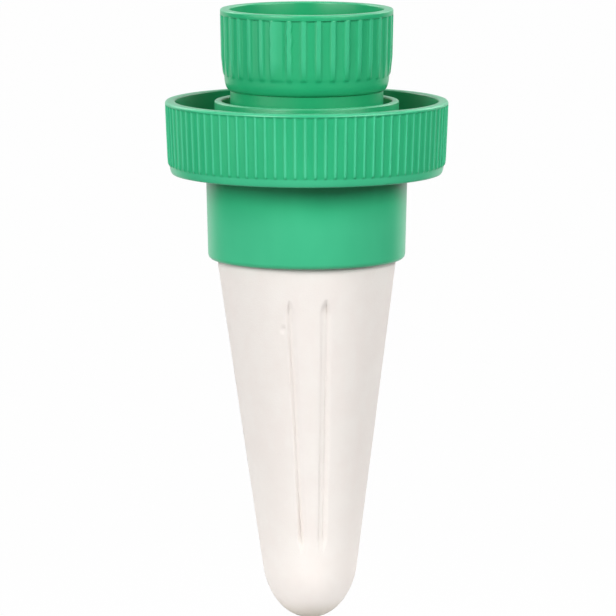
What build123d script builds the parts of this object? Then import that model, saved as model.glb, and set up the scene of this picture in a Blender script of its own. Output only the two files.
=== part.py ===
from build123d import *
import os
from math import cos, radians, sin, sqrt

os.makedirs("parts", exist_ok=True)

# A self-watering spike: a porous clay cone is pushed into the soil and carries a moulded head.
# Millimetres, +Z up, origin at the cone's tip. The front, with the two grooves, faces -Y.

# Ceramic cone
cone_reach = 67.6
cone_neck_r = 16.6
cone_tip_r = 8.7
cone_tip_height = 9.6
cone_wall = 3.75
cone_tip_wall = 5.0
cone_neck_chamfer = 0.4
tip_width_share = 0.62
tip_height_share = 0.58
groove_angle = 13.0
groove_top_z = 61.0
groove_foot_z = 14.6
groove_width = 1.8
groove_depth = 0.5

# Collar that takes the cone's neck
collar_height = 15.9
collar_wall = 1.9
collar_draft = 0.4
collar_edge = 1.0
neck_fit = 0.15
gasket_thickness = 1.8
gasket_inset = 0.25

# Dish with the wide bottle socket
floor_thickness = 2.1
dish_depth = 11.4
wide_neck_room = 7.3
dish_rim_wall = 1.85
dish_draft = 0.43
dish_skirt_height = 3.0
dish_foot_inset = 0.52
dish_rim_band = 0.75
rim_edge = 0.3
dish_rim_edge = 0.5
dish_foot_edge = 0.5
ridge_count = 88
ridge_phase = -0.57
ridge_width = 0.6
ridge_rise = 0.25
ridge_foot = 1.6
wide_lead = 4.0
wide_thread_depth = 1.25
wide_mouth = 3.1
wide_washer_thickness = 1.6
wide_washer_gap = 0.35

# Screw joint between the head's tube and the adapter's neck
neck_r = 14.15
neck_wall = 2.4
joint_lead = 3.0
joint_thread_depth = 1.3
joint_clearance = 0.3
tube_wall = 1.3
water_hole_inset = 0.8
seal_thickness = 1.6
seal_inset = 0.1
spigot_wall = 0.8
spigot_length = 1.2
spigot_fit = 0.1

# Bottle adapter with the narrow bottle socket
neck_show = 1.9
cup_floor = 2.4
cup_depth = 12.7
narrow_thread_r = 14.0
narrow_thread_depth = 1.25
narrow_lead = 2.7
mouth_relief = 0.3
mouth_depth = 2.4
cup_rim_wall = 1.7
cup_rim_band = 1.1
cup_base_step = 0.6
cup_heel_inset = 0.27
cup_side_height = 6.6
cup_side_draft = 0.15
cup_edge = 0.3
rib_count = 36
rib_phase = -2.0
rib_width = 1.15
rib_rise = 0.4
rib_foot = 2.9
rib_foot_rise = 0.15
cup_seat_width = 4.75
narrow_washer_thickness = 1.5
narrow_washer_inset = 0.2
narrow_washer_gap = 0.3

# Thread form, as shares of the lead, and the plain wall left beyond a thread's end
thread_root_share = 0.48
thread_crest_share = 0.2
thread_margin = 0.6

# How far a cut or a joined form runs past the surface it starts from
overrun = 0.3

# Heights and radii worked out from the sizes above
dish_base_z = cone_reach + collar_height
floor_z = dish_base_z + floor_thickness
rim_z = floor_z + dish_depth
cone_neck_top_z = dish_base_z - gasket_thickness
collar_bore_r = cone_neck_r + neck_fit
collar_r = collar_bore_r + collar_wall
cone_bore_r = cone_neck_r - cone_wall
tube_bore_r = neck_r + joint_thread_depth + joint_clearance
tube_r = tube_bore_r + tube_wall
dish_bore_r = tube_r + wide_neck_room
joint_female_crest_r = tube_bore_r - joint_thread_depth
joint_male_crest_r = neck_r + joint_thread_depth
neck_bore_r = neck_r - neck_wall
water_hole_r = neck_bore_r - water_hole_inset
dish_rim_r = dish_bore_r + dish_rim_wall
wide_crest_r = dish_bore_r - wide_thread_depth
neck_end_z = floor_z + seal_thickness
cup_base_z = rim_z + neck_show
cup_floor_z = cup_base_z + cup_floor
cup_rim_z = cup_floor_z + cup_depth
cup_mouth_z = cup_rim_z - mouth_depth
narrow_crest_r = narrow_thread_r - narrow_thread_depth
cup_hole_r = narrow_crest_r - cup_seat_width
narrow_mouth_r = narrow_thread_r + mouth_relief
cup_rim_r = narrow_mouth_r + cup_rim_wall


def round_corners(outline, corners, radius):
    """Rounds the corners of a flat outline, each given as (radius, height)."""
    for place in corners:
        fillet(outline.vertices().sort_by_distance(place)[0], radius)


def thread_ridge(root_r, crest_r, lead, base_z, rise):
    """A right-hand helical ridge that stands on a wall at root_r and ends at crest_r."""
    inward = crest_r < root_r
    depth = abs(crest_r - root_r)
    root_half = lead * thread_root_share / 2
    crest_half = lead * thread_crest_share / 2
    spread = (root_half - crest_half) / depth * overrun
    with BuildPart() as ridge:
        with BuildLine() as path:
            Helix(pitch=lead, height=rise, radius=root_r, center=(0, 0, base_z))
        face_plane = Plane(
            origin=path.line @ 0,
            x_dir=(-1, 0, 0) if inward else (1, 0, 0),
            z_dir=path.line % 0,
        )
        with BuildSketch(face_plane):
            with BuildLine():
                Polyline(
                    (-overrun, -root_half - spread),
                    (-overrun, root_half + spread),
                    (depth + overrun, crest_half - spread),
                    (depth + overrun, spread - crest_half),
                    close=True,
                )
            make_face()
        sweep(path=path.line, is_frenet=True)
        with BuildSketch(Plane.XY.offset(base_z - lead)):
            Circle(crest_r)
        extrude(amount=rise + 2 * lead, mode=Mode.SUBTRACT if inward else Mode.INTERSECT)
    return ridge.part


def flat_ring(inner_r, outer_r, base_z, thickness):
    """A flat washer cut from sheet."""
    with BuildPart() as ring:
        with BuildSketch(Plane.XY.offset(base_z)):
            Circle(outer_r)
            Circle(inner_r, mode=Mode.SUBTRACT)
        extrude(amount=thickness)
    return ring.part


# Ceramic cone: slip-cast, hollow, open at the neck, with two grooves down its front
cone_slope = (cone_neck_r - cone_tip_r) / (cone_reach - cone_tip_height)
tip_shoulder = (
    cone_tip_r - cone_slope * cone_tip_height * (1 - tip_height_share),
    cone_tip_height * tip_height_share,
)
hollow_tip_r = cone_tip_r - cone_wall
hollow_shoulder = (
    hollow_tip_r - cone_slope * cone_tip_height * (1 - tip_height_share),
    cone_tip_wall + (cone_tip_height - cone_tip_wall) * tip_height_share,
)
with BuildPart() as ceramic_cone:
    with BuildSketch(Plane.XZ):
        with BuildLine():
            Bezier(
                (0, 0),
                (cone_tip_r * tip_width_share, 0),
                tip_shoulder,
                (cone_tip_r, cone_tip_height),
            )
            Polyline(
                (cone_tip_r, cone_tip_height),
                (cone_neck_r, cone_reach),
                (cone_neck_r, cone_neck_top_z - cone_neck_chamfer),
                (cone_neck_r - cone_neck_chamfer, cone_neck_top_z),
                (cone_bore_r, cone_neck_top_z),
                (cone_bore_r, cone_reach),
                (hollow_tip_r, cone_tip_height),
            )
            Bezier(
                (hollow_tip_r, cone_tip_height),
                hollow_shoulder,
                (hollow_tip_r * tip_width_share, cone_tip_wall),
                (0, cone_tip_wall),
            )
            Line((0, cone_tip_wall), (0, 0))
        make_face()
    revolve(axis=Axis.Z)
    groove_mid_z = (groove_top_z + groove_foot_z) / 2
    groove_mid_r = cone_tip_r + (groove_mid_z - cone_tip_height) * cone_slope
    groove_length = (groove_top_z - groove_foot_z) * sqrt(1 + cone_slope**2)
    for side in (-1, 1):
        heading = radians(270 + side * groove_angle)
        groove_plane = Plane(
            origin=(groove_mid_r * cos(heading), groove_mid_r * sin(heading), groove_mid_z),
            x_dir=(cone_slope * cos(heading), cone_slope * sin(heading), 1),
            z_dir=(cos(heading), sin(heading), -cone_slope),
        )
        with BuildSketch(groove_plane):
            SlotOverall(groove_length, groove_width)
        extrude(amount=groove_depth, both=True, mode=Mode.SUBTRACT)
ceramic_cone.part.label = "ceramic_cone"

# Cone gasket: sits on the neck of the cone and seals it against the head
cone_gasket = flat_ring(cone_bore_r, cone_neck_r - gasket_inset, cone_neck_top_z, gasket_thickness)
cone_gasket.label = "cone_gasket"

# Watering head: one moulding of collar, dish, inner tube and the web that joins them
dish_side_z = dish_base_z + dish_skirt_height
dish_side_r = dish_rim_r - dish_draft - ridge_rise
dish_foot_r = dish_side_r - dish_foot_inset
ridge_top_z = rim_z - dish_rim_band
ridge_foot_z = dish_base_z + ridge_foot
with BuildPart() as ridges:
    with BuildSketch(Plane.XZ) as ridge_outline:
        with BuildLine():
            Polyline(
                (dish_side_r - overrun, ridge_foot_z),
                (dish_side_r - overrun, ridge_top_z),
                (dish_rim_r, ridge_top_z),
                (dish_side_r + ridge_rise, dish_side_z),
                (dish_side_r + ridge_rise, ridge_foot_z),
                close=True,
            )
        make_face()
        round_corners(ridge_outline, [(dish_side_r + ridge_rise, ridge_foot_z)], ridge_rise)
    revolve(axis=Axis.Z)
    with BuildSketch(Plane.XY.offset(ridge_foot_z - overrun)):
        with PolarLocations(dish_side_r, ridge_count, start_angle=270 + ridge_phase):
            Rectangle(2 * (dish_rim_r - dish_side_r + overrun), ridge_width)
    extrude(amount=dish_depth + floor_thickness, mode=Mode.INTERSECT)

joint_thread_foot_z = neck_end_z + thread_margin + joint_lead * thread_root_share / 2
joint_thread_rise = rim_z - thread_margin - joint_lead * (1 + thread_root_share) / 2 - joint_thread_foot_z
wide_thread_foot_z = floor_z + wide_washer_thickness + thread_margin + wide_lead * thread_root_share / 2
wide_thread_rise = rim_z - wide_mouth - wide_lead * thread_root_share / 2 - wide_thread_foot_z
tube_thread = thread_ridge(
    tube_bore_r,
    joint_female_crest_r,
    joint_lead,
    joint_thread_foot_z + joint_lead / 2,
    joint_thread_rise,
)
dish_thread = thread_ridge(dish_bore_r, wide_crest_r, wide_lead, wide_thread_foot_z, wide_thread_rise)
with BuildPart() as watering_head:
    with BuildSketch(Plane.XZ) as head_outline:
        with BuildLine():
            Polyline(
                (dish_foot_r, dish_base_z),
                (collar_r, dish_base_z),
                (collar_r - collar_draft, cone_reach),
                (collar_bore_r, cone_reach),
                (collar_bore_r, dish_base_z),
                (water_hole_r, dish_base_z),
                (water_hole_r, floor_z),
                (tube_bore_r, floor_z),
                (tube_bore_r, rim_z),
                (tube_r, rim_z),
                (tube_r, floor_z),
                (dish_bore_r, floor_z),
                (dish_bore_r, rim_z),
                (dish_rim_r, rim_z),
                (dish_rim_r, ridge_top_z),
                (dish_rim_r - ridge_rise, ridge_top_z),
                (dish_side_r, dish_side_z),
            )
            TangentArc((dish_side_r, dish_side_z), (dish_foot_r, dish_base_z), tangent=(0, -1))
        make_face()
        round_corners(head_outline, [(collar_r - collar_draft, cone_reach)], collar_edge)
        round_corners(head_outline, [(dish_rim_r, rim_z)], dish_rim_edge)
        round_corners(head_outline, [(dish_foot_r, dish_base_z)], dish_foot_edge)
        round_corners(
            head_outline,
            [(dish_bore_r, rim_z), (tube_bore_r, rim_z), (tube_r, rim_z)],
            rim_edge,
        )
    revolve(axis=Axis.Z)
    add(ridges.part)
    add(tube_thread)
    add(dish_thread)
watering_head.part.label = "watering_head"

# Wide bottle washer: lies on the dish floor round the tube
wide_washer = flat_ring(
    tube_r + wide_washer_gap,
    wide_crest_r - wide_washer_gap,
    floor_z,
    wide_washer_thickness,
)
wide_washer.label = "wide_bottle_washer"

# Neck seal: a square ring round the spigot of the neck, pressed on to the web when screwed home
spigot_r = neck_bore_r + spigot_wall
neck_seal = flat_ring(spigot_r + spigot_fit, neck_r - seal_inset, floor_z, seal_thickness)
neck_seal.label = "neck_seal"

# Bottle adapter: one moulding of ribbed cup and threaded neck
band_z = cup_rim_z - cup_rim_band
cup_base_r = neck_r + cup_base_step
cup_side_r = cup_rim_r - rib_rise - cup_side_draft
cup_side_z = cup_base_z + cup_side_height
cup_heel_r = cup_side_r - cup_heel_inset
rib_foot_z = cup_base_z + rib_foot
rib_foot_r = cup_heel_r + rib_foot_rise
with BuildPart() as ribs:
    with BuildSketch(Plane.XZ) as rib_outline:
        with BuildLine():
            Polyline(
                (rib_foot_r, rib_foot_z),
                (cup_heel_r - overrun, rib_foot_z),
                (cup_side_r - overrun, cup_side_z),
                (cup_side_r - overrun, band_z),
                (cup_rim_r, band_z),
                (cup_side_r + rib_rise, cup_side_z),
            )
            TangentArc(
                (cup_side_r + rib_rise, cup_side_z),
                (rib_foot_r, rib_foot_z),
                tangent=(-cup_side_draft, cup_side_z - band_z),
            )
        make_face()
    revolve(axis=Axis.Z)
    with BuildSketch(Plane.XY.offset(rib_foot_z - overrun)):
        with PolarLocations(cup_side_r, rib_count, start_angle=270 + rib_phase):
            Rectangle(2 * (cup_rim_r - cup_heel_r + overrun), rib_width)
    extrude(amount=cup_depth + cup_floor, mode=Mode.INTERSECT)

narrow_thread_foot_z = (
    cup_floor_z + narrow_washer_thickness + thread_margin + narrow_lead * thread_root_share / 2
)
narrow_thread_rise = cup_mouth_z - narrow_lead * thread_root_share / 2 - narrow_thread_foot_z
cup_thread = thread_ridge(
    narrow_thread_r,
    narrow_crest_r,
    narrow_lead,
    narrow_thread_foot_z,
    narrow_thread_rise,
)
neck_thread = thread_ridge(
    neck_r,
    joint_male_crest_r,
    joint_lead,
    joint_thread_foot_z,
    joint_thread_rise,
)
with BuildPart() as bottle_adapter:
    with BuildSketch(Plane.XZ) as adapter_outline:
        with BuildLine():
            Polyline(
                (cup_heel_r, cup_floor_z),
                (cup_base_r, cup_base_z),
                (neck_r, cup_base_z),
                (neck_r, neck_end_z),
                (spigot_r, neck_end_z),
                (spigot_r, neck_end_z - spigot_length),
                (neck_bore_r, neck_end_z - spigot_length),
                (neck_bore_r, cup_base_z),
                (cup_hole_r, cup_base_z),
                (cup_hole_r, cup_floor_z),
                (narrow_thread_r, cup_floor_z),
                (narrow_thread_r, cup_mouth_z),
                (narrow_mouth_r, cup_mouth_z),
                (narrow_mouth_r, cup_rim_z),
                (cup_rim_r, cup_rim_z),
                (cup_rim_r, band_z),
                (cup_rim_r - rib_rise, band_z),
                (cup_side_r, cup_side_z),
            )
            TangentArc(
                (cup_side_r, cup_side_z),
                (cup_heel_r, cup_floor_z),
                tangent=(-cup_side_draft, cup_side_z - band_z),
            )
        make_face()
        round_corners(adapter_outline, [(narrow_mouth_r, cup_rim_z), (cup_rim_r, cup_rim_z)], cup_edge)
    revolve(axis=Axis.Z)
    add(ribs.part)
    add(cup_thread)
    add(neck_thread)
bottle_adapter.part.label = "bottle_adapter"

# Narrow bottle washer: lies on the cup's floor under the lip of the bottle
narrow_washer = flat_ring(
    cup_hole_r + narrow_washer_inset,
    narrow_crest_r - narrow_washer_gap,
    cup_floor_z,
    narrow_washer_thickness,
)
narrow_washer.label = "narrow_bottle_washer"

export_step(ceramic_cone.part, "parts/ceramic_cone.step")
export_step(cone_gasket, "parts/cone_gasket.step")
export_step(watering_head.part, "parts/watering_head.step")
export_step(wide_washer, "parts/wide_bottle_washer.step")
export_step(neck_seal, "parts/neck_seal.step")
export_step(bottle_adapter.part, "parts/bottle_adapter.step")
export_step(narrow_washer, "parts/narrow_bottle_washer.step")
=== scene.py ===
from math import cos, pi, radians, sin, tan

import bpy
import numpy as np
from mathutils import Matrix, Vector


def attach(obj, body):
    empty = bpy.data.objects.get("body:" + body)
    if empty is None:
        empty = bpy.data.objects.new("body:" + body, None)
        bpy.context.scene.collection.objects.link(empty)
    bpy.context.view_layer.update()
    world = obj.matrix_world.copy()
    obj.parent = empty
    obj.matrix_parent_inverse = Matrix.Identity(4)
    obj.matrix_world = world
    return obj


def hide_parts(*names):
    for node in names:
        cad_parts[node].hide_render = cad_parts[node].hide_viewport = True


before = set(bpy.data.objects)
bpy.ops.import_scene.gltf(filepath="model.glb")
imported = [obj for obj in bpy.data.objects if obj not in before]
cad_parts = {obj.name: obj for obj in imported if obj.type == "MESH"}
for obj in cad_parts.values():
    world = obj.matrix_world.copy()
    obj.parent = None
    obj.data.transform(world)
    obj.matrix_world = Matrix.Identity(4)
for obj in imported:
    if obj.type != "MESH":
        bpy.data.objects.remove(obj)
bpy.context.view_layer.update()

# Clay cone
# A hollow cone of porous, unglazed clay, slip-cast and fired, so its wall is a little uneven and
# its colour mottled. Two grooves pressed down its front. Its neck sits in the head's collar.

mm = 0.001
merge_gap = 0.004 * mm


def span(node):
    """The outer radius and the lowest and highest place of a CAD node, in millimetres."""
    corners = np.array(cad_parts[node].bound_box) / mm
    widest = corners[:, 0].max()
    lowest = corners[:, 2].min()
    highest = corners[:, 2].max()
    return [round(float(size), 3) for size in (widest, lowest, highest)]


def draw_outline(name, points):
    """Draws an outline of (radius, height) points with one vertex, extruded from place to place."""
    if bpy.context.object and bpy.context.object.mode == "EDIT":
        bpy.ops.object.mode_set(mode="OBJECT")
    bpy.ops.object.select_all(action="DESELECT")
    bpy.ops.mesh.primitive_plane_add(size=mm)
    piece = bpy.context.object
    piece.name = piece.data.name = name
    bpy.ops.object.mode_set(mode="EDIT")
    bpy.ops.mesh.select_mode(type="VERT")
    bpy.ops.mesh.merge(type="CENTER")
    bpy.ops.transform.translate(value=(points[0][0] * mm, 0, points[0][1] * mm))
    for here, there in zip(points, points[1:]):
        move = ((there[0] - here[0]) * mm, 0, (there[1] - here[1]) * mm)
        bpy.ops.mesh.extrude_vertices_move(TRANSFORM_OT_translate={"value": move})
    return piece


def close_seams():
    """Joins what lies on one place and turns the faces outwards."""
    bpy.ops.mesh.select_all(action="SELECT")
    bpy.ops.mesh.remove_doubles(threshold=merge_gap)
    bpy.ops.mesh.normals_make_consistent(inside=False)


def turn_outline(steps, angle):
    """Turns all that is drawn round the axis, anticlockwise from above."""
    bpy.ops.mesh.select_all(action="SELECT")
    bpy.ops.mesh.spin(steps=steps, angle=angle, center=(0, 0, 0), axis=(0, 0, -1))
    close_seams()


def finish_piece(piece, body, node, material, sharp=40):
    """Shades the piece, gives it its material, ties it to its body and hides its CAD node."""
    bpy.ops.object.mode_set(mode="OBJECT")
    bpy.ops.object.select_all(action="DESELECT")
    piece.select_set(True)
    bpy.context.view_layer.objects.active = piece
    bpy.ops.object.shade_smooth_by_angle(angle=radians(sharp))
    piece.data.materials.clear()
    piece.data.materials.append(material)
    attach(piece, body)
    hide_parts(node)


class Wire:
    """One output socket of a material. Arithmetic on it adds Math nodes."""

    def __init__(self, finish, socket):
        self.finish = finish
        self.socket = socket

    def math(self, operation, *values):
        return self.finish.node("ShaderNodeMath", {"operation": operation}, values)

    def __add__(self, other):
        return self.math("ADD", self, other)

    def __sub__(self, other):
        return self.math("SUBTRACT", self, other)

    def __rsub__(self, other):
        return self.math("SUBTRACT", other, self)

    def __mul__(self, other):
        return self.math("MULTIPLY", self, other)

    def __or__(self, other):
        """The larger of the two, which joins two masks."""
        return self.math("MAXIMUM", self, other)

    def within(self, low, high):
        """0 below low and 1 above high, or the other way round, with a soft step between."""
        values = {"Value": self, "From Min": low, "From Max": high}
        return self.finish.node("ShaderNodeMapRange", {"interpolation_type": "SMOOTHSTEP"}, values)

    __radd__ = __add__
    __rmul__ = __mul__


class Finish:
    """A tree of nodes: a procedural material on the piece's own coordinates in metres, or a room."""

    def __init__(self, owner, coordinates="Object"):
        self.owner = owner
        owner.use_nodes = True
        self.tree = owner.node_tree
        self.tree.nodes.clear()
        self.place = self.node("ShaderNodeTexCoord", out=coordinates)

    def node(self, kind, settings={}, values=(), out=0):
        made = self.tree.nodes.new(kind)
        for key, value in settings.items():
            setattr(made, key, value)
        pairs = values.items() if isinstance(values, dict) else enumerate(values)
        for key, value in pairs:
            if isinstance(value, Wire):
                self.tree.links.new(value.socket, made.inputs[key])
            else:
                made.inputs[key].default_value = value
        return Wire(self, made.outputs[out]) if made.outputs else None

    def stretched(self, x, y, z):
        """The piece's coordinates, scaled along each axis."""
        return self.node("ShaderNodeMapping", {}, {"Vector": self.place, "Scale": (x, y, z)})

    def part_of(self, vector, axis):
        """One coordinate of a vector."""
        return self.node("ShaderNodeSeparateXYZ", {}, [vector], out=axis)

    def length(self, vector):
        return self.node("ShaderNodeVectorMath", {"operation": "LENGTH"}, [vector], "Value")

    def noise(self, size, detail=2.0, rough=0.5, place=None):
        """Noise from 0 to 1 whose patches are about this many millimetres across."""
        values = {"Vector": place or self.place, "Scale": 1 / (size * mm)}
        values.update({"Detail": detail, "Roughness": rough})
        return self.node("ShaderNodeTexNoise", {}, values)

    def blend(self, share, first, second):
        """The first colour where share is 0, the second where it is 1."""
        return self.node("ShaderNodeMix", {"data_type": "RGBA"}, {0: share, 6: first, 7: second}, out=2)

    def bump(self, height, depth, under=None):
        """Relief of this depth in millimetres where height goes from 0 to 1."""
        values = {"Height": height, "Distance": depth * mm, "Strength": 1.0}
        if under:
            values["Normal"] = under
        return self.node("ShaderNodeBump", {}, values)

    def surface(self, **values):
        """Ends the material with one shader. Its sockets are named with _ for each space."""
        sockets = {name.replace("_", " "): value for name, value in values.items()}
        shader = self.node("ShaderNodeBsdfPrincipled", {}, sockets, "BSDF")
        self.node("ShaderNodeOutputMaterial", {}, [shader])
        return self.owner


cone_neck_r, cone_foot_z, cone_neck_z = span("ceramic_cone")
cone_reach = span("watering_head")[1]
cone_wall = 3.75
cone_bore_r = cone_neck_r - cone_wall
cone_tip_r = 8.7
cone_tip_z = 9.6
cone_slope = (cone_neck_r - cone_tip_r) / (cone_reach - cone_tip_z)
neck_chamfer = 0.4
neck_bore_chamfer = 0.3
neck_rows = (72.0, 77.0, cone_neck_z - neck_chamfer)
cavity_rows = [(cone_bore_r, 75.0), (cone_bore_r, cone_reach), (10.6, 50.0), (8.0, 31.6)]
cavity_rows += [(4.95, cone_tip_z), (4.2, 7.2), (2.6, 5.5), (0, 5.0)]
tip_steps = 16
wall_rows = 120
cone_steps = 432
cone_lean = 0.6

# From the tip out: the rounded tip, as one curve that two more places pull outwards, the straight
# wall, the neck and the cavity's wall back down.
tip_places = ((0, cone_foot_z), (5.4, cone_foot_z), (8.15, 5.57), (cone_tip_r, cone_tip_z))
tip_start, first_pull, second_pull, tip_end = [Vector(place) for place in tip_places]
outline = []
for step in range(tip_steps):
    done = step / tip_steps
    left = 1 - done
    lower_half = tip_start * left ** 3 + first_pull * 3 * done * left ** 2
    upper_half = second_pull * 3 * done ** 2 * left + tip_end * done ** 3
    outline.append(tuple(lower_half + upper_half))
for step in range(wall_rows + 1):
    up = (cone_reach - cone_tip_z) * step / wall_rows
    outline.append((cone_tip_r + cone_slope * up, cone_tip_z + up))
outline += [(cone_neck_r, row) for row in neck_rows]
outline += [(cone_neck_r - 0.15, cone_neck_z - 0.1), (cone_neck_r - neck_chamfer, cone_neck_z)]
outline += [(cone_bore_r + neck_bore_chamfer, cone_neck_z), (cone_bore_r, cone_neck_z - neck_bore_chamfer)]
clay = draw_outline("clay_cone", outline + cavity_rows)
turn_outline(cone_steps, 2 * pi)
bpy.ops.object.mode_set(mode="OBJECT")

# The grooves: a steep wall towards the light and a slower one away from it, pointed at the upper
# end and fading at the foot. Each has its headings and its shares of depth at foot and top, its
# width, and its section as depths at places from -1 to 1. A small chip lies beside the left one.
groove_top_z = 61.8
groove_foot_z = 13.4
groove_point = 2.5
groove_dip = 1.82
groove_run_out = 3.0
groove_even_z = (28.0, 56.8)
grooves = [
    ((-7.6, -11.6), (1.7, 1.0), 1.7, (-1.0, -0.55, -0.25, 0.3, 1.0), (0.0, 0.55, 0.45, 0.15, 0.0)),
    ((14.7, 12.9), (1.0, 1.7), 1.9,
     (-1.0, -0.75, -0.15, 0.12, 0.3, 1.0), (0.0, 0.28, 0.26, 0.52, 0.46, 0.0)),
]
chip = (-4.4, -14.3, 56.2)
chip_r = 0.7
chip_depth = 0.4
deepest = 1.0


def pressed_depth(x, y, z):
    """How deep each place on the outer wall is pressed in, in millimetres."""
    radius = np.hypot(x, y)
    outer_wall = radius > cone_tip_r + (z - cone_tip_z) * cone_slope - 1
    below_top = groove_top_z - z
    foot = np.clip((z - groove_foot_z) / groove_run_out, 0, 1)
    opening = np.sqrt(np.clip(below_top / groove_point, 0, 1)) * np.sqrt(foot)
    fade = np.clip(below_top / groove_dip, 0, 1) * foot
    depth = np.zeros(len(x))
    for headings, shares, width, across, depths in grooves:
        heading = np.interp(z, (groove_foot_z, groove_top_z), headings)
        aside = (np.degrees(np.arctan2(x, -y)) - heading) * radius * pi / 180
        section = np.interp(aside / (width / 2 * opening + 1e-6), across, depths)
        along = np.interp(z, (groove_foot_z, *groove_even_z, groove_top_z), (shares[0], 1, 1, shares[1]))
        depth += section * fade * along
    gap = np.sqrt((x - chip[0]) ** 2 + (y - chip[1]) ** 2 + (z - chip[2]) ** 2)
    depth += chip_depth * np.clip(1 - gap / chip_r, 0, 1)
    return np.where((y < 0) & outer_wall, depth, 0)


places = np.empty(len(clay.data.vertices) * 3, np.float32)
clay.data.vertices.foreach_get("co", places)
depths = pressed_depth(*(places.reshape(-1, 3).T / mm))
pressed = clay.vertex_groups.new(name="pressed")
for index in np.flatnonzero(np.abs(depths) > 1e-4):
    pressed.add([int(index)], float(depths[index]) / deepest, "REPLACE")
press = clay.modifiers.new("press", "DISPLACE")
press.vertex_group = "pressed"
press.strength = -deepest * mm
press.mid_level = 0
bpy.ops.object.modifier_apply(modifier="press")
clay.vertex_groups.clear()

# The cone leans a little in its collar.
bpy.ops.object.mode_set(mode="EDIT")
bpy.ops.mesh.select_all(action="SELECT")
bpy.ops.transform.rotate(
    value=radians(cone_lean), orient_axis="Y", center_override=(0, 0, cone_reach * mm)
)
bpy.ops.object.mode_set(mode="OBJECT")

uneven_size = 9
uneven_depth = 0.07
unevenness = bpy.data.textures.new("slip_cast_unevenness", "CLOUDS")
unevenness.noise_scale = uneven_size * mm
wobble = clay.modifiers.new("unevenness", "DISPLACE")
wobble.texture = unevenness
wobble.texture_coords = "LOCAL"
wobble.strength = uneven_depth * mm
wobble.mid_level = 0.5
bpy.ops.object.modifier_apply(modifier="unevenness")

clay_pale = (0.872, 0.815, 0.775, 1)
clay_white = (0.888, 0.84, 0.8, 1)
clay_streak = (0.872, 0.8, 0.76, 1)
clay_speck = (0.78, 0.71, 0.65, 1)
clay_tip_dark = (0.62, 0.56, 0.44, 1)
dark_tip_z = 4.5 * mm

fired = Finish(bpy.data.materials.new("fired_clay"))
patches = fired.noise(7.0, 3.0, 0.55)
streaks = fired.noise(3.0, 2.0, 0.5, fired.stretched(1.0, 1.0, 0.25))
grain = fired.noise(0.45, 3.0, 0.65)
pores = fired.noise(0.22, 1.0, 0.5)
# The clay's colour is darker towards the tip.
darker_tip = fired.part_of(fired.place, "Z").within(dark_tip_z, 0.0) * 0.5
mottled = fired.blend(patches.within(0.35, 0.65), clay_pale, clay_white)
streaked = fired.blend(streaks.within(0.45, 0.7) * 0.4, mottled, clay_streak)
speckled = fired.blend(grain.within(0.62, 0.78) * 0.25, streaked, clay_speck)
fired_clay = fired.surface(
    Base_Color=fired.blend(darker_tip, speckled, clay_tip_dark),
    Roughness=0.84 + 0.12 * grain,
    Normal=fired.bump(pores.within(0.3, 0.5), 0.012, fired.bump(grain, 0.03, fired.bump(patches, 0.03))),
    Specular_IOR_Level=0.3,
)
finish_piece(clay, "head", "ceramic_cone", fired_clay, sharp=60)

# Soft seals
# Four flat rubber rings, cut from sheet: the gasket on the cone's neck, the seal round the
# adapter's spigot and the two washers that the bottles' lips press on. Each lies loose in its seat.

rubber_black = (0.02, 0.021, 0.022, 1)
rubber_bloom = (0.05, 0.05, 0.052, 1)
rubber_edge = 0.15

rubber = Finish(bpy.data.materials.new("seal_rubber"))
bloom = rubber.noise(2.2, 3.0, 0.6)
dust = rubber.noise(0.5, 2.0, 0.6)
seal_rubber = rubber.surface(
    Base_Color=rubber.blend(bloom.within(0.35, 0.75), rubber_black, rubber_bloom),
    Roughness=0.55 + 0.25 * bloom,
    Normal=rubber.bump(dust, 0.02),
)
for ring in ("cone_gasket", "wide_bottle_washer", "neck_seal", "narrow_bottle_washer"):
    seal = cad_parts[ring]
    seal.data.materials.clear()
    seal.data.materials.append(seal_rubber)
    weld = seal.modifiers.new("joined_faces", "WELD")
    weld.merge_threshold = merge_gap / 2
    edge = seal.modifiers.new("soft_edges", "BEVEL")
    edge.width = rubber_edge * mm
    edge.segments = 2
    edge.angle_limit = radians(40)

# Watering head
# One moulding in green plastic: the collar that grips the cone, the wide dish with fine grip
# ridges, the tube in its middle and the web between them. Threads stand on the dish's and the
# tube's inner walls.


def arcs(corners, steps):
    """Draws each corner (radius, height, rounding) of a closed outline as an arc of points."""
    points = []
    for i, (radius, height, rounding) in enumerate(corners):
        corner = Vector((radius, height))
        if not rounding:
            points.append(tuple(corner))
            continue
        before = (Vector(corners[i - 1][:2]) - corner).normalized()
        after = (Vector(corners[(i + 1) % len(corners)][:2]) - corner).normalized()
        half = before.angle(after) / 2
        centre = corner + (before + after).normalized() * rounding / sin(half)
        first = corner + before * rounding / tan(half) - centre
        last = corner + after * rounding / tan(half) - centre
        turn = (pi - 2 * half) * (1 if first.cross(last) > 0 else -1)
        for step in range(steps + 1):
            angle = turn * step / steps
            points.append((
                centre.x + first.x * cos(angle) - first.y * sin(angle),
                centre.y + first.x * sin(angle) + first.y * cos(angle),
            ))
    return points


dish_rim_r, collar_foot_z, rim_z = span("watering_head")
dish_base_z = span("cone_gasket")[2]
dish_floor_z, wide_washer_z = span("wide_bottle_washer")[1:]
dish_bore_r = dish_rim_r - 1.85
tube_r = 17.05
tube_bore_r = 15.75
water_hole_r = 10.95
collar_bore_r = cone_neck_r + 0.15
collar_top_r = 18.65
collar_foot_r = 18.25
head_arc_steps = 3

# The rows of the dish's outer side above its rounded foot, each as far in from the rim and up
# from the base. They lie closer where the ridges end.
dish_side = [(0.98, 0.65), (0.86, 1.25), (0.82, 1.5), (0.8, 1.62), (0.78, 1.8), (0.75, 2.1), (0.68, 3.0)]
dish_side += [(0.57, 5.5), (0.45, 8.0), (0.35, 10.5), (0.28, 12.4), (0.27, 12.55), (0.23, 12.7)]
dish_side += [(0.15, 12.8), (0.06, 12.88), (0.0, 12.96)]

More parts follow.
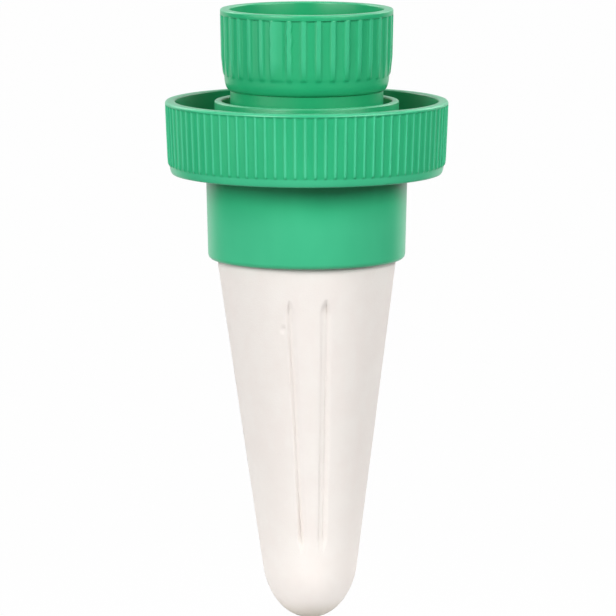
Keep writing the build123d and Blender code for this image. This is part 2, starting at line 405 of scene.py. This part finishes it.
# The rest of the head's outline, with the rounding of each corner: the dish's rim and floor, the
# tube, the web with its water hole, and the collar.
head_corners = [(dish_rim_r - 1.2, dish_base_z, 0.35)]
head_corners += [(dish_rim_r - inset, dish_base_z + up, 0) for inset, up in dish_side]
head_corners += [
    (dish_rim_r, rim_z, 0.5),
    (dish_bore_r, rim_z, 0.35),
    (dish_bore_r, dish_floor_z, 0.5),
    (tube_r, dish_floor_z, 0.4),
    (tube_r, rim_z, 0.3),
    (tube_bore_r, rim_z, 0.3),
    (tube_bore_r, dish_floor_z, 0.25),
    (water_hole_r, dish_floor_z, 0.2),
    (water_hole_r, dish_base_z, 0.2),
    (collar_bore_r, dish_base_z, 0.2),
    (collar_bore_r, collar_foot_z, 0.3),
    (collar_foot_r, collar_foot_z, 0.95),
    (collar_top_r, dish_base_z, 0.25),
]

ridge_count = 88
ridge_phase = -0.57
ridge_pitch = 2 * pi / ridge_count
ridge_steps = 12
ridge_rise = 0.27

# One ridge stands in the middle of this slice of wall, with a hollow land at each side. Its ends
# fade out, as shares of its rise between two heights above the base.
ridge_section = [0.06, 0.02, 0.0, 0.03, 0.2, 0.8, 1.0, 0.8, 0.2, 0.03, 0.0, 0.02, 0.06]
ridge_ends = [(1.56, 1.7, 0.45), (1.7, 1.95, 0.85), (1.95, 12.6, 1.0), (12.6, 12.75, 0.8)]
ridge_ends += [(12.75, 12.85, 0.5)]

points = arcs(head_corners, head_arc_steps)
head = draw_outline("watering_head_body", points + points[:1])
turn_outline(ridge_steps, ridge_pitch)


def pick(piece, test):
    """Selects the vertices whose x, y and z in millimetres pass the test."""
    bpy.ops.object.mode_set(mode="OBJECT")
    mesh = piece.data
    places = np.empty(len(mesh.vertices) * 3, np.float32)
    mesh.vertices.foreach_get("co", places)
    mesh.vertices.foreach_set("select", test(*(places.reshape(-1, 3).T / mm)))
    mesh.edges.foreach_set("select", np.zeros(len(mesh.edges), bool))
    mesh.polygons.foreach_set("select", np.zeros(len(mesh.polygons), bool))
    bpy.ops.object.mode_set(mode="EDIT")


def in_column(x, y, column, steps, pitch):
    """Picks one column of a slice by its angle from the slice's first edge."""
    return np.abs(np.arctan2(y, x) - pitch * column / steps) < pitch / steps / 4


def raise_rib(piece, section, ends, rise, base_z, wall_r, steps, pitch):
    """Raises a rib on the wall outside wall_r by its section across and its ends' shares along."""
    for column, across in enumerate(section):
        angle = pitch * column / steps
        for low, high, along in ends:
            if across:
                pick(piece, lambda x, y, z: in_column(x, y, column, steps, pitch)
                     & (np.hypot(x, y) > wall_r) & (z > base_z + low) & (z < base_z + high))
                push = rise * across * along * mm
                bpy.ops.transform.translate(value=(push * cos(angle), push * sin(angle), 0))


def repeat_slice(count, phase, copies):
    """Turns the slice to this angle from the front, repeats it to the right and closes its seams."""
    bpy.ops.mesh.select_all(action="SELECT")
    pitch = 2 * pi / count
    turned = radians(270 + phase) - pitch / 2
    bpy.ops.transform.rotate(value=-turned, orient_axis="Z", center_override=(0, 0, 0))
    if copies > 1:
        bpy.ops.mesh.spin(
            steps=copies - 1, dupli=True, angle=pitch * (copies - 1), center=(0, 0, 0), axis=(0, 0, -1)
        )
    close_seams()


ridge_wall_r = dish_rim_r - 1.1
raise_rib(head, ridge_section, ridge_ends, ridge_rise, dish_base_z, ridge_wall_r, ridge_steps, ridge_pitch)
repeat_slice(ridge_count, ridge_phase, ridge_count)

# A thread's form: its widths at root and crest as shares of its lead, its softened edges, how far
# it stands in the wall, and the runs of its ends, which shrink into the wall.
thread_root_share = 0.48
thread_crest_share = 0.2
thread_edge = 0.15
thread_edge_tall = 0.12
thread_sunk = 0.3
thread_sunk_tall = 0.08
thread_margin = 0.6
thread_turn_steps = 96
thread_end_run = 1.6
thread_end_share = 0.15


def stand_thread(piece, root_r, crest_r, lead, base_z, rise):
    """Adds a right-hand thread of a moulded form to the wall at root_r, with ends that sink into it."""
    bpy.ops.object.mode_set(mode="OBJECT")
    way = 1 if crest_r > root_r else -1
    root_half = lead * thread_root_share / 2
    crest_half = lead * thread_crest_share / 2
    sunk_r = root_r - way * thread_sunk
    lower = [(sunk_r, -root_half - thread_sunk_tall), (root_r, -root_half)]
    lower += [(crest_r - way * thread_edge, -crest_half), (crest_r, thread_edge_tall - crest_half)]
    upper = [(radius, -up) for radius, up in reversed(lower)]
    form = [(radius, base_z + up) for radius, up in lower + upper]
    thread = draw_outline("thread", form + form[:1])
    bpy.ops.mesh.select_all(action="SELECT")
    bpy.ops.mesh.remove_doubles(threshold=merge_gap)
    bpy.ops.object.mode_set(mode="OBJECT")
    turns = rise / lead
    climb = thread.modifiers.new("climb", "SCREW")
    climb.angle = 2 * pi * turns
    climb.screw_offset = rise * mm
    climb.steps = climb.render_steps = round(thread_turn_steps * turns)
    bpy.ops.object.modifier_apply(modifier="climb")
    bpy.ops.object.mode_set(mode="EDIT")
    bpy.ops.mesh.select_all(action="SELECT")
    bpy.ops.mesh.remove_doubles(threshold=merge_gap)
    for turned, run in ((0.0, -thread_end_run), (turns, thread_end_run)):
        angle = 2 * pi * turned
        mid_z = base_z + lead * turned

        def at_end(x, y, z):
            radius = np.hypot(x, y)
            aside = np.hypot(x - radius * cos(angle), y - radius * sin(angle))
            return (aside < 0.05) & (np.abs(z - mid_z) < root_half + 0.2)

        bpy.ops.mesh.select_all(action="DESELECT")
        pick(thread, at_end)
        bpy.ops.mesh.select_mode(type="EDGE")
        bpy.ops.mesh.edge_face_add()
        run_up = run * lead / (2 * pi * root_r)
        move = Vector((-run * sin(angle), run * cos(angle), run_up)) * mm
        bpy.ops.mesh.extrude_region_move(TRANSFORM_OT_translate={"value": move})
        foot = Vector((sunk_r * cos(angle), sunk_r * sin(angle), mid_z)) * mm + move
        bpy.ops.transform.resize(value=[thread_end_share] * 3, center_override=foot)
        bpy.ops.mesh.select_mode(type="VERT")
    bpy.ops.mesh.select_all(action="SELECT")
    bpy.ops.mesh.normals_make_consistent(inside=False)
    bpy.ops.object.mode_set(mode="OBJECT")
    bpy.ops.object.select_all(action="DESELECT")
    piece.select_set(True)
    bpy.context.view_layer.objects.active = piece
    union = piece.modifiers.new("thread_union", "BOOLEAN")
    union.operation = "UNION"
    union.solver = "MANIFOLD"
    union.object = thread
    bpy.ops.object.modifier_apply(modifier="thread_union")
    bpy.data.objects.remove(thread)


# The neck's thread runs half a lead below the tube's.
neck_lead = 3.0
neck_thread_depth = 1.3
neck_shoulder_z = span("neck_seal")[2]
neck_thread_z = neck_shoulder_z + thread_margin + neck_lead * thread_root_share / 2
neck_thread_rise = rim_z - thread_margin - neck_lead * (1 + thread_root_share) / 2 - neck_thread_z
tube_thread_z = neck_thread_z + neck_lead / 2
stand_thread(head, tube_bore_r, tube_bore_r - neck_thread_depth, neck_lead, tube_thread_z, neck_thread_rise)

bottle_thread_depth = 1.25
wide_lead = 4.0
wide_mouth = 3.1
wide_thread_z = wide_washer_z + thread_margin + wide_lead * thread_root_share / 2
wide_thread_rise = rim_z - wide_mouth - wide_lead * thread_root_share / 2 - wide_thread_z
wide_crest_r = dish_bore_r - bottle_thread_depth
stand_thread(head, dish_bore_r, wide_crest_r, wide_lead, wide_thread_z, wide_thread_rise)

# The green plastic of both mouldings. Rims, the crests of ridges and ribs, the edge of the dish's
# base and the lower collar carry a painted highlight in paler green, and the rims' lips a painted
# reflection. The inner walls, the neck and, less, the cup's outside carry painted shade in deeper green.
cup_rim_r, neck_foot_z, cup_rim_z = span("bottle_adapter")
green_dark = (0.019, 0.42, 0.18, 1)
green_light = (0.026, 0.46, 0.2, 1)
green_scuff = (0.05, 0.55, 0.3, 1)
green_painted_shade = (0.012, 0.33, 0.13, 1)
green_painted_highlight = (0.085, 0.62, 0.34, 1)
green_painted_reflection = (0.3, 0.78, 0.53, 1)

green = Finish(bpy.data.materials.new("green_plastic"))
flow = green.noise(9.0, 2.0, 0.5, green.stretched(1.0, 1.0, 0.5))
skin = green.noise(0.8, 2.0, 0.55)
scuffs = green.noise(1.1, 4.0, 0.7, green.stretched(1.0, 1.0, 0.2))
scuffed = scuffs.within(0.62, 0.78)
moulded = green.blend(flow.within(0.3, 0.7), green_dark, green_light)
scuffed_green = green.blend(scuffed * 0.12, moulded, green_scuff)

# Each place's height and distance from the axis in millimetres, and the plain walls as lines.
at_z = green.part_of(green.stretched(1 / mm, 1 / mm, 1 / mm), "Z")
at_r = green.length(green.stretched(1 / mm, 1 / mm, 0))
dish_wall = 21.47 + 0.0465 * at_z
cup_wall = 13.22 + 0.0211 * at_z
under_rim = at_z.within(rim_z + 0.6, rim_z + 0.3)

ridge_crests = (at_r - dish_wall).within(0.1, 0.24)
ridge_crests *= at_z.within(dish_base_z + 1.3, dish_base_z + 2.1) * at_z.within(rim_z - 0.7, rim_z - 0.9)
rib_crests = (at_r - cup_wall).within(0.12, 0.36)
rib_crests *= at_z.within(cup_rim_z - 12.1, cup_rim_z - 11.0)
rib_crests *= at_z.within(cup_rim_z - 1.1, cup_rim_z - 1.3)
rim_band = at_z.within(rim_z - 0.8, rim_z - 0.5) * under_rim
rim_band *= at_r.within(dish_rim_r - 0.4, dish_rim_r - 0.2)
lower_collar = at_z.within(dish_base_z - 1.5, dish_base_z - 9.5)
base_edge = at_z.within(dish_base_z - 0.2, dish_base_z + 0.1)
base_edge *= at_z.within(dish_base_z + 1.7, dish_base_z + 1.3)
base_edge *= at_r.within(dish_rim_r - 1.7, dish_rim_r - 1.5)
# Painted highlight: rims, crests of ridges and ribs, the dish's base edge and the lower collar are painted
# paler green where light catches them.
painted_highlight = rim_band * 0.3 + ridge_crests * 0.75 + rib_crests * 0.35 + (lower_collar + base_edge) * 0.5

# Painted shade: the inner walls, the neck and the dish's hollow are painted deeper green, and the cup's
# outside a little.
cup_inside = at_r.within(14.5, 14.3) * at_z.within(neck_foot_z, neck_foot_z + 1)
dish_inside = at_r.within(dish_bore_r + 0.25, dish_bore_r + 0.05)
dish_inside *= at_r.within(tube_r - 0.25, tube_r - 0.05)
dish_inside *= at_z.within(dish_floor_z - 0.6, dish_floor_z - 0.2)
cup_outside = at_z.within(rim_z + 1.5, rim_z + 2.5) * 0.4
painted_shade = cup_outside | (cup_inside + dish_inside)
painted_shade *= at_z.within(cup_rim_z - 0.1, cup_rim_z - 0.4)

# Painted reflection: a pale green line along the lips of the rims.
dish_lips = at_z.within(rim_z - 0.25, rim_z - 0.08) * under_rim
dish_lips *= at_r.within(tube_bore_r - 0.1, tube_bore_r)
cup_lip = at_z.within(cup_rim_z - 0.25, cup_rim_z - 0.08)
# The painted shade is blended in first, then the painted highlight and the painted reflection.
green_with_painted_shade = green.blend(painted_shade, scuffed_green, green_painted_shade)
green_with_painted_highlight = green.blend(painted_highlight * (0.7 + 0.5 * flow), green_with_painted_shade, green_painted_highlight)
green_plastic = green.surface(
    Base_Color=green.blend((cup_lip | dish_lips) * 0.25, green_with_painted_highlight, green_painted_reflection),
    Roughness=0.3 + 0.08 * flow + 0.15 * scuffed,
    Normal=green.bump(skin, 0.006, green.bump(flow, 0.1)),
    Specular_IOR_Level=0.5,
)
finish_piece(head, "head", "watering_head", green_plastic)

# Bottle adapter
# The second moulding in the same plastic: a ribbed cup that takes a small bottle's neck, and a
# threaded neck below it that screws down into the head's tube.

cup_floor_z = span("narrow_bottle_washer")[1]
cup_base_z = cup_floor_z - 2.4
cup_mouth_z = cup_rim_z - 2.4
cup_mouth_r = 14.3
cup_bore_r = 14.0
cup_hole_r = 8.0
neck_r = 14.15
neck_bore_r = 11.75
spigot_r = 12.55
heel_wide = 1.08
heel_tall = 2.7
heel_steps = 11
cup_arc_steps = 4

# The rows of the cup's outer side: the rounded heel, then as far in from the rim and up from the
# base. They lie closer where the ribs end, and close and even where the worn ribs waver.
cup_side = []
for step in range(heel_steps):
    angle = radians(90 - 8.2 * step)
    cup_side.append((neck_r + heel_wide * cos(angle), cup_base_z + heel_tall * (1 - sin(angle))))
rib_foot_rows = [(0.74, 2.8), (0.72, 2.9), (0.69, 3.05), (0.64, 3.5), (0.61, 4.0), (0.59, 4.5)]
rib_foot_rows += [(0.575, 5.05), (0.56, 5.6), (0.55, 6.1)]
rib_top_rows = [(0.395, 13.85), (0.38, 13.96), (0.03, 14.05), (0.0, 14.15)]
wavy_rows = [(0.55 - 0.15 * step / 22, 6.6 + 7.1 * step / 22) for step in range(23)]
for inset, up in rib_foot_rows + wavy_rows + rib_top_rows:
    cup_side.append((cup_rim_r - inset, cup_base_z + up))
cup_corners = [(radius, height, 0) for radius, height in cup_side]
cup_corners += [
    (cup_rim_r, cup_rim_z, 0.35),
    (cup_mouth_r, cup_rim_z, 0.35),
    (cup_mouth_r, cup_mouth_z + 0.1, 0),
    (cup_bore_r, cup_mouth_z - 0.1, 0),
    (cup_bore_r, cup_floor_z, 0.3),
    (cup_hole_r, cup_floor_z, 0.25),
    (cup_hole_r, cup_base_z, 0.2),
    (neck_bore_r, cup_base_z, 0.3),
    (neck_bore_r, neck_foot_z, 0.15),
    (spigot_r, neck_foot_z, 0.15),
    (spigot_r, neck_shoulder_z, 0.1),
    (neck_r, neck_shoulder_z, 0.2),
]
cup_points = arcs(cup_corners, cup_arc_steps)

rib_count = 36
rib_phase = -2.0
rib_pitch = 2 * pi / rib_count
rib_steps = 20
rib_rise = 0.4
rib_wall_r = cup_rim_r - 0.8
plain_rib = [0, 0, 0, 0, 0.03, 0.1, 0.32, 0.85, 1, 1, 1, 1, 1, 0.85, 0.32, 0.1, 0.03, 0, 0, 0, 0]
rib_ends = [(2.85, 2.95, 0.15), (2.95, 3.2, 0.33), (3.2, 3.7, 0.42), (3.7, 4.2, 0.5), (4.2, 4.7, 0.6)]
rib_ends += [(4.7, 5.3, 0.7), (5.3, 5.8, 0.82), (5.8, 6.3, 0.93), (6.3, 14.04, 1.0)]


def cup_slice(name, section):
    """One slice of the adapter with a rib of this section on it."""
    piece = draw_outline(name, cup_points + cup_points[:1])
    turn_outline(rib_steps, rib_pitch)
    raise_rib(piece, section, rib_ends, rib_rise, cup_base_z, rib_wall_r, rib_steps, rib_pitch)
    return piece


# Two ribs of the worn mould waver, and the left one runs out towards its neighbour. Each has its
# heading, its section, how much each column of it sways, and the width and length of its waves.
left_worn = [0, 0, 0.03, 0.3, 0.9, 1, 1, 1, 0.96, 0.9, 0.84, 0.78, 0.72, 0.68, 0.64, 0.6]
left_worn += [0.58, 0.56, 0.54, 0.52, 0.5]
right_worn = [0.5, 0.45, 0.35, 0.15, 0.03, 0, 0.1, 0.75, 1, 0.9, 1, 1, 1, 1, 0.5, 0.05, 0, 0, 0, 0, 0]
left_sway = [0, 0.25, 0.6, 1, 1, 1, 1, 0.9, 0.8, 0.7, 0.6, 0.5, 0.4, 0.3, 0.2, 0.1] + [0] * 5
right_sway = [0, 0, 0, 0, 0.2, 0.4, 0.6, 0.8] + [1] * 9 + [0.75, 0.5, 0.25, 0]
worn_ribs = [(-12, right_worn, right_sway, 0.075, 3.1), (-22, left_worn, left_sway, 0.08, 3.6)]

cup = cup_slice("bottle_adapter_body", plain_rib)
repeat_slice(rib_count, rib_phase, rib_count - len(worn_ribs))
for heading, section, columns, swing, wave in worn_ribs:
    worn = cup_slice("worn_rib", section)
    for row, (inset, up) in enumerate(wavy_rows):
        radius = cup_rim_r - inset
        height = cup_base_z + up
        waves = sin(2 * pi * height / wave) + 0.3 * sin(2 * pi * height / (wave * 0.6) + 1)
        sway = swing * min(1, 3 * row / (len(wavy_rows) - 1)) * waves
        for column, share in enumerate(columns):
            if share:
                pick(worn, lambda x, y, z: in_column(x, y, column, rib_steps, rib_pitch)
                     & (np.abs(z - height) < 0.05) & (np.hypot(x, y) > rib_wall_r))
                bpy.ops.transform.rotate(
                    value=-sway * share / radius, orient_axis="Z", center_override=(0, 0, 0)
                )
    repeat_slice(rib_count, heading, 1)
    bpy.ops.object.mode_set(mode="OBJECT")
    cup.select_set(True)
    bpy.context.view_layer.objects.active = cup
    bpy.ops.object.join()
bpy.ops.object.mode_set(mode="EDIT")
close_seams()

# The cup's thread runs from just above the washer to the foot of the mouth.
narrow_lead = 2.7
narrow_thread_z = 104.05
narrow_thread_rise = 6.9
narrow_crest_r = cup_bore_r - bottle_thread_depth
stand_thread(cup, cup_bore_r, narrow_crest_r, narrow_lead, narrow_thread_z, narrow_thread_rise)
stand_thread(cup, neck_r, neck_r + neck_thread_depth, neck_lead, neck_thread_z, neck_thread_rise)
finish_piece(cup, "adapter", "bottle_adapter", green_plastic)

# Table and light
# The spike stands on its tip on a plain table that runs on behind it, in a white studio. Two soft
# boxes stand in front, the left one the key, one at each side and two behind.

table_wide = 12
paper_grey = (0.13, 0.13, 0.13, 1)
paper_near = (0.48, 0.48, 0.48, 1)
paper_under = (0.66, 0.66, 0.66, 1)
paper_fibre = (0.3, 0.3, 0.3, 1)

bpy.ops.object.select_all(action="DESELECT")
bpy.ops.mesh.primitive_plane_add(size=table_wide)
table = bpy.context.object
table.name = "table_top"
paper = Finish(bpy.data.materials.new("white_paper"))
fibres = paper.noise(1.5, 3.0, 0.6)
from_tip = paper.length(paper.place)
greys = paper.blend(from_tip.within(0.1, 0.025), paper_grey, paper_near)
whiter = paper.blend(from_tip.within(0.04, 0.015), greys, paper_under)
matt = paper.node("ShaderNodeBsdfPrincipled", {}, {
    "Base Color": paper.blend(fibres * 0.1, whiter, paper_fibre),
    "Roughness": 0.9,
    "Specular IOR Level": 0.2,
}, "BSDF")

# The table looks white to the camera, and behind the spike also in the plastic's gloss.
seen = paper.node("ShaderNodeLightPath", out="Is Camera Ray")
mirrored = paper.node("ShaderNodeLightPath", out="Is Glossy Ray")
bearing = paper.node("ShaderNodeVectorMath", {"operation": "NORMALIZE"}, [paper.place], "Vector")
behind = paper.part_of(bearing, "Y").within(0.5, 0.8)
bright = paper.node("ShaderNodeEmission", {}, {"Color": (1, 1, 1, 1), "Strength": 1.0})
paper.node("ShaderNodeOutputMaterial", {}, [
    paper.node("ShaderNodeMixShader", {}, [seen * 0.99 + mirrored * behind, matt, bright])
])
table.data.materials.append(paper.owner)

# The room is dark above and in front, and its white walls stand behind and at the sides.
bpy.context.scene.world = bpy.data.worlds.new("studio_room")
room = Finish(bpy.context.scene.world, "Generated")
seen = room.node("ShaderNodeLightPath", out="Is Camera Ray")
away = room.part_of(room.place, "Y").within(0.4, 0.75)
below_ceiling = room.part_of(room.place, "Z").within(0.85, 0.5)
walls = 0.02 + away * below_ceiling
room.node("ShaderNodeOutputWorld", {}, [
    room.node("ShaderNodeBackground", {}, {"Strength": seen | walls})
])

# Each soft box: its name, azimuth to the right of the front, elevation, distance, width, height
# and power.
light_aim = Vector((0, 0, 0.07))
soft_boxes = [
    ("key_box", -36, 25, 0.7, 0.34, 0.3, 3.5),
    ("fill_box", 34, 25, 0.7, 0.34, 0.3, 1.8),
    ("left_box", -65, 12, 0.7, 0.35, 0.3, 1.0),
    ("right_box", 62, 26, 0.7, 0.35, 0.3, 2.3),
    ("back_left_box", -130, 30, 0.8, 0.4, 0.4, 2.2),
    ("back_right_box", 130, 30, 0.8, 0.4, 0.4, 2.1),
]
for name, azimuth, elevation, distance, wide, tall, power in soft_boxes:
    angle = radians(azimuth)
    rise = radians(elevation)
    place = light_aim + distance * Vector((sin(angle) * cos(rise), -cos(angle) * cos(rise), sin(rise)))
    lamp = bpy.data.lights.new(name, "AREA")
    lamp.shape = "RECTANGLE"
    lamp.size = wide
    lamp.size_y = tall
    lamp.energy = power
    holder = bpy.data.objects.new(name, lamp)
    holder.location = place
    holder.rotation_euler = (light_aim - place).to_track_quat("-Z", "Y").to_euler()
    bpy.context.scene.collection.objects.link(holder)

# Camera
# A long lens a little above the dish, square to the two grooves.

camera_place = Vector((0.00024, -1.0899, 0.2070))
camera_aim = Vector((0.00024, 0, 0.0582))

camera = bpy.data.cameras.new("camera")
camera.lens = 346.2
camera.sensor_width = 36
camera.clip_start = 0.05
camera.clip_end = 30
eye = bpy.data.objects.new("camera", camera)
eye.location = camera_place
eye.rotation_euler = (camera_aim - camera_place).to_track_quat("-Z", "Y").to_euler()
bpy.context.scene.collection.objects.link(eye)
bpy.context.scene.camera = eye
bpy.context.scene.view_settings.view_transform = "Standard"
